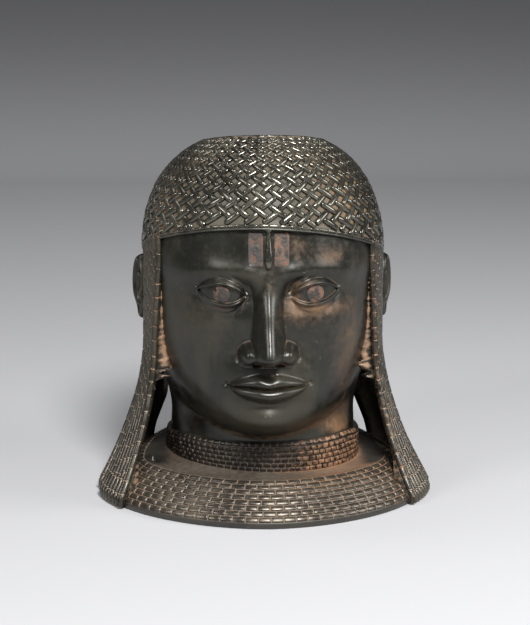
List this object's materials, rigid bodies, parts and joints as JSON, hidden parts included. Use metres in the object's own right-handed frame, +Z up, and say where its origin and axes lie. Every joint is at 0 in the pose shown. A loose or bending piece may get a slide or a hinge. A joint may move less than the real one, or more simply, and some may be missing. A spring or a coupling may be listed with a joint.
{
  "type": "commemorative head",
  "caption": "Hollow cast brass head of a king with woven bead cap, bead strands, choker and a bead-covered collar foot; open crown.",
  "frame": {"origin": "under the middle of the foot, at the centre of the bounding box's base", "axes": "+Z up, the face looks along -Y, +X is the head's own left"},
  "size_m": [0.2188, 0.229, 0.235],
  "materials": {
    "cast_brass": "dark brown-black patina, handled bright on the high places",
    "inlaid_iron": "rusted, matt, red-brown"
  },
  "bodies": {
    "root": {"head_casting": "cast_brass", "forehead_strip_left": "inlaid_iron", "forehead_strip_right": "inlaid_iron", "iris_left": "inlaid_iron", "iris_right": "inlaid_iron"}
  },
  "joints": []
}
